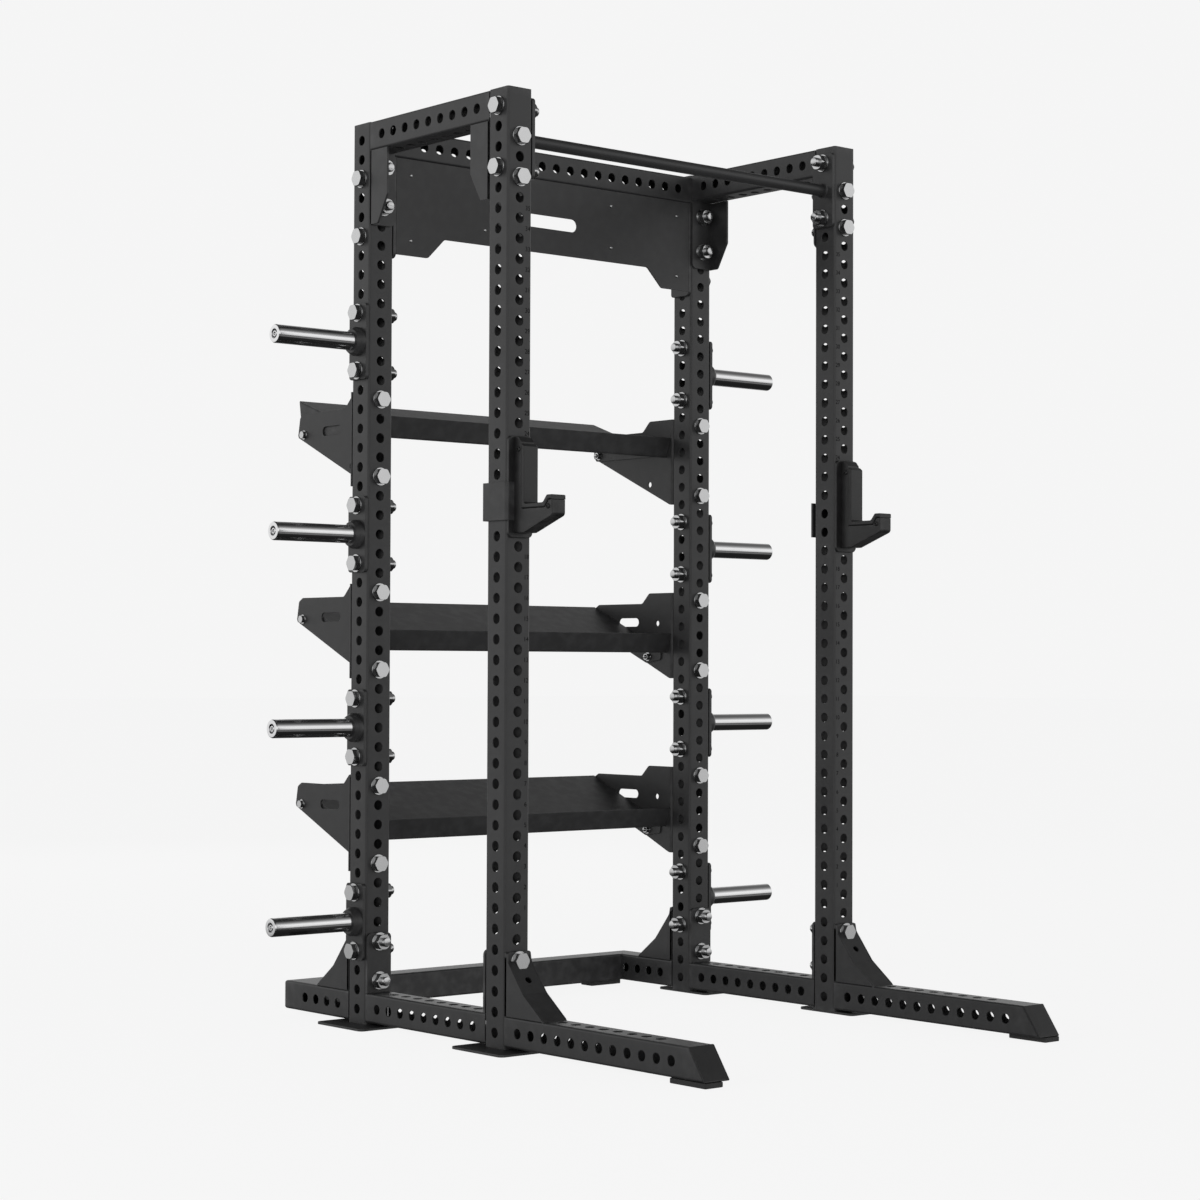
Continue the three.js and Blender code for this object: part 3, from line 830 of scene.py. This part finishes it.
def makeBase():
    gap = rack["gap"]
    frontFace = frontY - half - gap
    rearFace = rearY + half + gap
    for side, hand in sides:
        centre = (railCentre, side * uprightX)
        sideRow = middleRow(rack["railSideHoles"], middleY)
        topRow = middleRow(rack["railTopHoles"], middleY)
        node = f"{hand}_base_rail"
        low, high = boxOf(node)
        addTube(f"{node}_tube", "y", centre, (low[1], high[1]), (topRow, sideRow, [], sideRow), [node])
        addFlange(f"{hand}_rail_front_flange", side, low[1], 1)
        addFlange(f"{hand}_rail_rear_flange", side, high[1], -1)

        node = f"{hand}_front_foot"
        low, high = boxOf(node)
        rake = base["rake"]
        first = frontY - half - rack["pitch"]
        sideRow = rowOf(first, base["footHoles"], -rack["pitch"])
        topRow = rowOf(first - 2.5 * rack["pitch"], base["footTopHoles"], -rack["pitch"])
        lean = ((rake / rack["tube"], 0), (0, 0))
        along = (low[1] + rake / 2, high[1])
        addTube(f"{node}_tube", "y", centre, along, (topRow, sideRow, [], sideRow), [node], lean)
        addFlange(f"{hand}_front_foot_flange", side, frontFace, -1)
        addGusset(f"{hand}_front_gusset", side, frontFace, -1)

        node = f"{hand}_rear_foot"
        low, high = boxOf(node)
        sideRow = rowOf(rearY + half + rack["pitch"], base["rearHoles"])
        lean = ((0, 0), (0, side))
        along = (low[1], high[1] - half)
        rows = ([], sideRow, [], sideRow)
        addTube(f"{node}_tube", "y", centre, along, rows, [node], lean, base["rearCellHalf"])
        addFlange(f"{hand}_rear_foot_flange", side, rearFace, 1)
        addGusset(f"{hand}_rear_gusset", side, rearFace, 1)

        node = f"{hand}_front_foot_cap"
        low, high = boxOf(node)
        thick = high[1] - low[1] - rake
        corners = [
            (high[1] - rake, low[2]), (high[1], high[2]), (high[1] - thick, high[2]),
            (low[1], low[2]),
        ]
        outline = rounded(corners, [0, 0, base["capCorner"], base["capCorner"]])
        along = (low[0], high[0])
        addPlate(f"{node}_cover", outline, "x", along, "root", "plastic", [node], ease=1.5)
        for place in ("front", "rear"):
            node = f"{hand}_{place}_pad"
            low, high = boxOf(node)
            outline = outlineOf(low, high, (0, 1), base["padCorner"])
            along = (low[2], high[2])
            addPlate(f"{node}_block", outline, "z", along, "root", "rubber", [node], ease=2)

    low, high = boxOf("rear_base_tube")
    along = (low[0] + half, high[0] - half)
    centre = ((low[1] + high[1]) / 2, railCentre)
    mitre = ((-1, 0), (1, 0))
    addTube("rear_base_member", "x", centre, along, ([], [], [], []), ["rear_base_tube"], mitre)


makeBase()
print("base ready")


# ---- top: side crossmembers, rear crossmember, header plate and pull-up bar
top = {
    "bracketSheet": 6.0,
    "bracketLength": 76.0,
    "taper": 34.0,
    "taperHeight": 72.0,
    "flangeCorner": 15,
    "cheekCorners": (0, 0, 10, 8, 0),
    "barPlateCorner": 10,
    "barWeld": 5.0,
    "endPlate": 9.5,
    "endPlateCorners": (14, 8, 0, 0),
    "headerCorner": 14,
    "rearHoles": 20,
    "archHalf": 363.0,
    "arch": 55.0,
    "slotLength": 200.0,
    "slotHeight": 36.0,
    "rivetPlaces": ((476, -43.6), (476, -217.8), (226, -43.6), (226, -162.0)),  # from the top edge
}
rivet = {"radius": 4.5, "height": 2.4}


def makeBracket(side, hand, place, face, away, bottom, tubeLow):
    # a flange against the upright and a cheek folded from its outer edge
    sheet = top["bracketSheet"]
    inner, outer = side * innerX, side * outerX
    corners = rectangle((inner, outer), (bottom, tubeLow))
    bent = [top["flangeCorner"] if abs(x - inner) < 1 and z == bottom else 0 for x, z in corners]
    name = f"{hand}_{place}_bracket"
    along = (face, face - away * sheet)
    addPlate(f"{name}_flange", rounded(corners, bent), "y", along, "root", "tube_coat", ease=0.6)
    cheek = [
        (face, tubeLow),
        (face - away * top["bracketLength"], tubeLow),
        (face - away * top["bracketLength"], bottom + top["taperHeight"]),
        (face - away * top["taper"], bottom),
        (face, bottom),
    ]
    outline = rounded(cheek, top["cheekCorners"])
    along = (outer, outer - side * sheet)
    addPlate(f"{name}_cheek", outline, "x", along, "root", "tube_coat", ease=0.6)


def makeSideMembers():
    for side, hand in sides:
        node = f"{hand}_top_crossmember"
        low, high = boxOf(node)
        tubeLow = high[2] - rack["tube"]
        centre = (high[2] - half, side * uprightX)
        sideRow = middleRow(rack["railSideHoles"], middleY)
        topRow = middleRow(rack["railTopHoles"], middleY)
        addTube(f"{node}_tube", "y", centre, (low[1], high[1]), (topRow, sideRow, topRow, sideRow), [node])
        for end, place in ends:
            face = high[1] if end > 0 else low[1]
            makeBracket(side, hand, place, face, end, low[2], tubeLow)

        node = f"{hand}_bar_plate"
        low, high = boxOf(node)
        outline = outlineOf(low, high, (1, 2), top["barPlateCorner"])
        addPlate(f"{node}_steel", outline, "x", (low[0], high[0]), "root", "tube_coat", [node])


def makeRearMember():
    low, high = boxOf("rear_top_crossmember")
    centre = ((low[1] + high[1]) / 2, high[2] - half)
    row = middleRow(top["rearHoles"])
    addTube("rear_top_member", "x", centre, (low[0], high[0]), (row, [], row, []), ["rear_top_crossmember"])
    tubeLow = high[2] - rack["tube"]
    for side, hand in sides:
        x = high[0] if side > 0 else low[0]
        corners = rectangle((low[1], high[1]), (low[2], tubeLow))
        outline = rounded(corners, top["endPlateCorners"])
        along = (x, x - side * top["endPlate"])
        addPlate(f"{hand}_header_end_plate", outline, "x", along, "root", "tube_coat")


def makeHeader():
    low, high = boxOf("header_plate")
    across, arch = top["archHalf"], top["arch"]
    corners = [
        (low[0], low[2]), (-across - arch, low[2]), (-across, low[2] + arch),
        (across, low[2] + arch), (across + arch, low[2]), (high[0], low[2]), (high[0], high[2]),
        (low[0], high[2]),
    ]
    outline = rounded(corners, [0] + [top["headerCorner"]] * 4 + [0] * 3)
    middle = (low[2] + high[2]) / 2 + arch / 4
    opening = slotOf((0, middle), top["slotLength"], top["slotHeight"])
    along, nodes = (low[1], high[1]), ["header_plate"]
    addPlate("header_panel", outline, "y", along, "root", "sheet_coat", nodes, [opening], 0.6)
    radius = rivet["radius"]
    dome = [(0, 0), (radius, 0), (radius * 0.92, 1.0), (radius * 0.6, 2.0), (0, rivet["height"])]
    rivets = [
        placeTurned(turned(dome, steps=16), "y", -1, (side * x, low[1], high[2] + z))
        for x, z in top["rivetPlaces"]
        for side in (-1, 1)
    ]
    addPiece("header_rivets", gather(rivets), "root", "zinc")


def makeBar():
    low, high = boxOf("pull_up_bar")
    radius = (high[2] - low[2]) / 2
    length = high[0] - low[0]
    weld = top["barWeld"]
    profile = [(0, 0), (radius + weld, 0), (radius + 2, 1.5), (radius, weld)]
    profile += [(r, length - h) for r, h in reversed(profile)]
    place = (low[0], (low[1] + high[1]) / 2, (low[2] + high[2]) / 2)
    shape = placeTurned(turned(profile, steps=40), "x", 1, place)
    addPiece("pull_up_tube", shape, "root", "tube_coat", ["pull_up_bar"])


makeSideMembers()
makeRearMember()
makeHeader()
makeBar()
print("top ready")


# ---- plate pegs
peg = {
    "plate": 9.5,
    "corner": 10.0,
    "collarRadius": 38.0,
    "collarNose": 31.0,
    "endEase": 4.0,
    "recess": 7.0,
    "screwRadius": 9.0,
    "socketRadius": 5.0,
}


def makePegs():
    for side, hand in sides:
        for i in range(1, 5):
            node = f"{hand}_peg_bracket_{i}"
            low, high = boxOf(node)
            face = low[0] if side > 0 else high[0]
            centre = ((low[1] + high[1]) / 2, (low[2] + high[2]) / 2)
            outline = outlineOf(low, high, (1, 2), peg["corner"])
            along = (face, face + side * peg["plate"])
            addPlate(f"{node}_plate", outline, "x", along, "root", "tube_coat", [node])
            reach = high[0] - low[0] - peg["plate"]
            wide, nose = peg["collarRadius"], peg["collarNose"]
            collar = [
                (0, -1), (wide, -1), (wide, reach * 0.5), (wide - 1.5, reach * 0.62),
                (nose + 1, reach - 0.8), (nose, reach), (0, reach),
            ]
            place = (face + side * peg["plate"], *centre)
            shape = placeTurned(turned(collar), "x", side, place)
            addPiece(f"{node}_collar", shape, "root", "tube_coat")

            node = f"{hand}_peg_sleeve_{i}"
            low, high = boxOf(node)
            radius = (high[2] - low[2]) / 2
            length = high[0] - low[0]
            ease, deep = peg["endEase"], peg["recess"]
            screw, socket = peg["screwRadius"], peg["socketRadius"]
            sleeve = [
                (0, 0), (radius, 0), (radius, length - ease),
                (radius - 0.8, length - ease * 0.45), (radius - 2, length - 0.3),
                (radius - 3.2, length), (screw + 4, length), (screw + 2.6, length - deep),
                (screw, length - deep), (screw, length - 2.5), (screw - 1.5, length - 1),
                (socket, length - 1), (socket, length - 5), (0, length - 5),
            ]
            place = (low[0] if side > 0 else high[0], *((low[1:] + high[1:]) / 2))
            shape = placeTurned(turned(sleeve, steps=48), "x", side, place)
            addPiece(f"{node}_chrome", shape, "root", "chrome", [node])


makePegs()
print("pegs ready")


# ---- trays and their brackets
shelf = {
    "sheet": 5.0,
    "bend": 9.0,
    "half": 125.0,
    "shoulder": 94.5,
    "nose": 36.0,
    "reach": 359.0,
    "shoulderFrom": 104.0,
    "shoulderTo": 135.0,
    "slot": (195.0, 40.0, 90.0, 25.0),  # behind the flange, above the middle, length, height
    "spare": (67.0, 36.0),
    "spareRadius": 8.0,
    "frontBolt": (103.0, -62.0),
    "rearBolt": (329.0, 36.0),
}
tray = {
    "thick": 4.0,
    "front": 31.0,
    "depth": 350.0,
    "lip": 62.0,
    "bend": 7.0,
    "skirtRear": ((344.0, 20.0), (350.0, 60.0)),
}
# fold above the bracket's middle, tilt in degrees, and the two low corners of the skirt
lowSeat = {"rise": -52.5, "tilt": 23.0, "skirt": ((48.0, -70.0), (112.0, -80.0))}
highSeat = {"rise": 12.0, "tilt": 19.5, "skirt": ((50.0, 22.0), (80.0, 20.0))}
traySeats = {1: lowSeat, 2: lowSeat, 3: highSeat}
smallBolt = {
    "flats": 19.0,
    "corners": 21.6,
    "headHeight": 8.0,
    "washerRadius": 13.0,
    "washerThick": 2.0,
    "nutHeight": 9.0,
    "studRadius": 6.0,
    "studLength": 5.0,
}


def makeShelfBracket(node, side, y, z, spare):
    # y is the flange's face and z the bracket's middle; spare is the place of the empty bolt hole
    tall, reach, bend, sheet = shelf["half"], shelf["reach"], shelf["bend"], shelf["sheet"]
    cheek = [
        (y + bend, z - tall),
        (y + 16, z - tall + 1),
        (y + reach - 3, z + shelf["nose"] - 7),
        (y + reach, z + shelf["nose"]),
        (y + reach - 9, z + shelf["shoulder"] - 10),
        (y + reach - 27, z + shelf["shoulder"]),
        (y + shelf["shoulderTo"], z + shelf["shoulder"]),
        (y + shelf["shoulderFrom"], z + tall),
        (y + bend, z + tall),
    ]
    outline = rounded(cheek, [0, 1, 3, 4, 10, 10, 14, 14, 0])
    slotY, slotZ, slotLength, slotHeight = shelf["slot"]
    holes = [
        slotOf((y + slotY, z + slotZ), slotLength, slotHeight),
        circleOf((y + spare[0], z + spare[1]), shelf["spareRadius"]),
    ]
    x = side * innerX
    along = (x, x + side * sheet)
    addPlate(f"{node}_cheek", outline, "x", along, "root", "sheet_coat", [node], holes, 0.7)
    # flange and bend, drawn from above
    plan = [
        (x, y + bend + 1), (x, y), (side * outerX, y), (side * outerX, y + sheet),
        (x + side * sheet, y + sheet), (x + side * sheet, y + bend + 1),
    ]
    outline = rounded(plan, [0, bend, 1, 1, bend - sheet, 0])
    addPlate(f"{node}_flange", outline, "z", (z - tall, z + tall), "root", "sheet_coat", ease=0.5)


def makeTray(i, y, z):
    low, high = boxOf(f"tray_{i}")
    seat = traySeats[i]
    tilt = math.radians(seat["tilt"])
    floorWay = np.array((math.cos(tilt), math.sin(tilt)))
    lipWay = np.array((-floorWay[1], floorWay[0]))
    thick, depth, lip, bend = (tray[key] for key in ("thick", "depth", "lip", "bend"))
    fold = np.array((y - rack["gap"] + tray["front"], z + seat["rise"]))

    def at(a, b):
        return fold + a * floorWay + b * lipWay

    section = [at(0, 0), at(depth, 0), at(depth, thick), at(thick, thick), at(thick, lip), at(0, lip)]
    outline = rounded(section, [bend, 0, 0, bend - thick, 1.2, 1.2])
    along = (low[0], high[0])
    addPlate(f"tray_{i}_sheet", outline, "x", along, "root", "sheet_coat", [f"tray_{i}"], ease=0.4)
    outer = [(y + dy, z + dz) for dy, dz in (*seat["skirt"], *tray["skirtRear"])]
    skirt = rounded([at(18, 1), *outer, at(depth, 1)], [0, 8, 10, 8, 4, 0])
    for side, hand in sides:
        x = high[0] if side > 0 else low[0]
        along = (x, x - side * thick)
        addPlate(f"tray_{i}_{hand}_skirt", skirt, "x", along, "root", "sheet_coat", ease=0.5)


def makeShelves():
    for i in (1, 2, 3):
        # the top tray hangs on the upper holes, and its lower front hole stays empty
        used, spare = shelf["frontBolt"], shelf["spare"]
        if i == 3:
            used, spare = spare, used
        bolts = []
        for side, hand in sides:
            node = f"{hand}_shelf_bracket_{i}"
            low, high = boxOf(node)
            y, z = low[1], (low[2] + high[2]) / 2
            makeShelfBracket(node, side, y, z, spare)
            x = side * innerX
            nutX = x - side * (rack["gap"] + tray["thick"])
            dy, dz = shelf["rearBolt"]
            bolts.append(("head", "x", side, (x + side * shelf["sheet"], y + dy, z + dz)))
            for dy, dz in (shelf["rearBolt"], used):
                bolts.append(("nut", "x", -side, (nutX, y + dy, z + dz)))
        addFasteners(f"tray_{i}_bolts", bolts, smallBolt)
        makeTray(i, y, z)


makeShelves()
print("trays ready")


# ---- bar cups. Profiles are how far ahead of the upright's face and how far above the seat
cup = {
    "plate": 8.0,
    "plateCorner": 14,
    "seatDrop": 100.0,  # seat below the pin
    "above": 69.0,
    "below": 182.0,
    "width": 42.0,
    "linerThick": 12.0,
    "linerOver": 2.0,
    "wrapSheet": 6.0,
    "wrapGap": 1.5,
    "wrapRearGap": 8.0,
    "wrapBend": 9.0,
    "wrapTop": 45.5,
    "wrapHeight": 94.0,
    "seatY": (48.0, 120.0, 135.0, 155.0),  # back rest, end of the seat, start and end of the lip
    "lipRise": 18.0,
    "pinLead": 3.0,
    "screws": ((26, 134), (140, -10)),
}
cupScrew = {"radius": 6.5, "height": 3.5, "socket": 3.2}


def hookProfile(under):
    back, seatEnd, lipStart, tip = cup["seatY"]
    lip = cup["lipRise"] - under
    corners = [
        (7, -71), (46, -71), (tip, -32), (tip, lip), (lipStart + 6, lip), (seatEnd + 7, -under),
        (back - under, -under), (back - under, 152), (24, 166), (7, 166),
    ]
    return corners, [0, 12, 10, 1, 1, 3, 4, 6, 10, 0]


def linerProfile(thick):
    back, seatEnd, lipStart, tip = cup["seatY"]
    lip = cup["lipRise"]
    corners = [
        (back, 141), (back, 0), (seatEnd, 0), (lipStart, lip), (tip, lip), (tip, lip - thick),
        (lipStart + 6, lip - thick), (seatEnd + 7, -thick), (back - thick, -thick),
        (back - thick, 151),
    ]
    return corners, [4, 7, 12, 4, 3, 1, 1, 3, 3, 3]


def makeWrap(side, hand, body, face, pinZ):
    # a strip bent round the outside and back of the upright, drawn from above
    sheet, bend = cup["wrapSheet"], cup["wrapBend"]
    wrapX = side * (outerX + cup["wrapGap"])
    outer = wrapX + side * sheet
    rear = frontY + half + cup["wrapRearGap"]
    inner = side * (uprightX + cup["width"] / 2 - 2)
    front = face - cup["plate"] - 1.2
    section = [
        (inner, front), (outer, front), (outer, rear + sheet), (side * innerX, rear + sheet),
        (side * innerX, rear), (wrapX, rear), (wrapX, front + sheet), (inner, front + sheet),
    ]
    outline = rounded(section, [0, bend, bend, 1, 1, bend - sheet, 1, 0])
    along = (pinZ - cup["wrapTop"] - cup["wrapHeight"], pinZ - cup["wrapTop"])
    addPlate(f"{hand}_cup_wrap", outline, "z", along, body, "tube_coat", ease=0.8)


def makeCups():
    for side, hand in sides:
        body = f"jcup_{hand}"
        pinLow, pinHigh = boxOf(f"{hand}_jcup_pin")
        pinX, pinZ = (pinLow[0] + pinHigh[0]) / 2, (pinLow[2] + pinHigh[2]) / 2
        face = pinLow[1] - rack["gap"]
        seat = pinZ - cup["seatDrop"]
        x = (side * innerX, side * outerX)
        outline = rounded(rectangle(x, (pinZ - cup["below"], pinZ + cup["above"])), cup["plateCorner"])
        along, nodes = (face, face - cup["plate"]), [f"{hand}_jcup_body"]
        name = f"{hand}_cup_back_plate"
        addPlate(name, outline, "y", along, body, "tube_coat", nodes, ease=1.2, finish=cupCoat)

        def ahead(profile):
            corners, radii = profile
            return rounded([(face - reach, seat + rise) for reach, rise in corners], radii)

        thick, over = cup["linerThick"], cup["linerOver"]
        hookX = (pinX - cup["width"] / 2, pinX + cup["width"] / 2)
        outline = ahead(hookProfile(thick + rack["gap"]))
        addPlate(f"{hand}_cup_hook", outline, "x", hookX, body, "tube_coat", ease=1.6, finish=cupCoat)
        outline = ahead(linerProfile(thick))
        padX = (hookX[0] - over, hookX[1] + over)
        nodes = [f"{hand}_jcup_liner"]
        addPlate(f"{hand}_cup_liner", outline, "x", padX, body, "plastic", nodes, ease=3)
        makeWrap(side, hand, body, face, pinZ)

        radius, reach, lead = pinHigh[0] - pinX, pinHigh[1] - face, cup["pinLead"]
        tip = reach - rack["gap"]
        pin = [(0, 0), (radius, 0), (radius, reach - lead), (radius - 2.5, tip), (0, tip)]
        shape = placeTurned(turned(pin), "y", 1, (pinX, face, pinZ))
        addPiece(f"{hand}_cup_pin", shape, body, "zinc", [f"{hand}_jcup_pin"])
        radius, tall, socket = cupScrew["radius"], cupScrew["height"], cupScrew["socket"]
        dome = [
            (0, -1), (radius, -1), (radius, 0.8), (radius * 0.8, tall - 0.6),
            (radius * 0.62, tall), (socket, tall), (socket, tall - 2.4), (0, tall - 2.4),
        ]
        screws = []
        for reach, rise in cup["screws"]:
            for edge in (-1, 1):
                place = (pinX + edge * cup["width"] / 2, face - reach, seat + rise)
                screws.append(placeTurned(turned(dome, steps=20), "x", edge, place))
        addPiece(f"{hand}_cup_screws", gather(screws), body, "plastic")


makeCups()
print("bar cups ready")


# ---- hex bolts and nuts, at the levels of the holes that they go through
boltLevels = {
    "barPlate": (45, 42),
    "header": (43, 40),
    "pegs": (6, 16, 26, 36),  # upper bolt of each peg
    "pegStep": 3,
    "top": (43.5, 41.5),
    "base": (3.5, 1.5),
    "shelves": (9.5, 19.5, 29.5),  # middle of each bracket
    "shelfStep": 2,
}


def makeBolts():
    gap = rack["gap"]
    flange = half + gap + base["flangeThick"]
    bracket = half + gap + top["bracketSheet"]
    for side, hand in sides:
        x = side * uprightX
        outside, inside = side * outerX, side * innerX
        plateIn = side * (innerX - gap - top["endPlate"])
        for name, y, places in (("bar_plate", frontY, "barPlate"), ("header", rearY, "header")):
            rows = []
            for n in boltLevels[places]:
                rows.append(("head", "x", side, (outside, y, level(n))))
                rows.append(("nut", "x", -side, (plateIn, y, level(n))))
            addFasteners(f"{hand}_{name}_bolts", rows)
        plateOut = side * (outerX + gap + peg["plate"])
        for i, peak in enumerate(boltLevels["pegs"]):
            rows = []
            for n in (peak, peak - boltLevels["pegStep"]):
                rows.append(("head", "x", side, (plateOut, rearY, level(n))))
                rows.append(("nut", "x", -side, (inside, rearY, level(n))))
            addFasteners(f"{hand}_peg_bolts_{i + 1}", rows)
        rows = []
        for n in boltLevels["top"]:
            rows.append(("head", "y", -1, (x, frontY - half, level(n))))
            rows.append(("nut", "y", 1, (x, frontY + bracket, level(n))))
            rows.append(("head", "y", 1, (x, rearY + half, level(n))))
            rows.append(("nut", "y", -1, (x, rearY - bracket, level(n))))
        addFasteners(f"{hand}_top_bolts", rows)
        n = base["gussetBolt"]
        rows = [("head", "y", -1, (x, frontY - flange, level(n)))]
        rows.append(("head", "y", 1, (x, rearY + flange, level(n))))
        for n in boltLevels["base"]:
            rows.append(("nut", "y", 1, (x, frontY + flange, level(n))))
            rows.append(("nut", "y", -1, (x, rearY - flange, level(n))))
        addFasteners(f"{hand}_base_bolts", rows)
        for i, middle in enumerate(boltLevels["shelves"]):
            rows = []
            for n in (middle - boltLevels["shelfStep"], middle + boltLevels["shelfStep"]):
                rows.append(("head", "y", -1, (x, rearY - half, level(n))))
                rows.append(("nut", "y", 1, (x, rearY + half + gap + shelf["sheet"], level(n))))
            addFasteners(f"{hand}_shelf_bolts_{i + 1}", rows)


makeBolts()
print("bolts ready")


# ---- hole numbers on the front faces of the front uprights
numbers = {"count": 35, "firstLevel": 6, "size": 16.2, "offset": 25.5, "proud": 0.12}


def makeNumbers():
    for side, hand in sides:
        meshes = bmesh.new()
        for n in range(1, numbers["count"] + 1):
            text = bpy.data.curves.new("number", "FONT")
            text.body = str(n)
            text.align_x = "CENTER"
            text.align_y = "CENTER"
            text.size = numbers["size"] * mm
            text.extrude = numbers["proud"] * mm
            drawn = newObject("number", text)
            graph = bpy.context.evaluated_depsgraph_get()
            mesh = bpy.data.meshes.new_from_object(drawn.evaluated_get(graph))
            bpy.data.objects.remove(drawn)
            x = side * (uprightX - numbers["offset"])
            place = Vector((x, frontY - half, level(numbers["firstLevel"] - 1 + n)))
            mesh.transform(Matrix.Translation(place * mm) @ plateTurns["y"].to_4x4())
            meshes.from_mesh(mesh)
        joined = bpy.data.meshes.new(f"{hand}_hole_numbers")
        meshes.to_mesh(joined)
        meshes.free()
        finishPiece(newObject(joined.name, joined), "root", "tube_coat", finish=numberInk)


makeNumbers()
print("numbers ready")
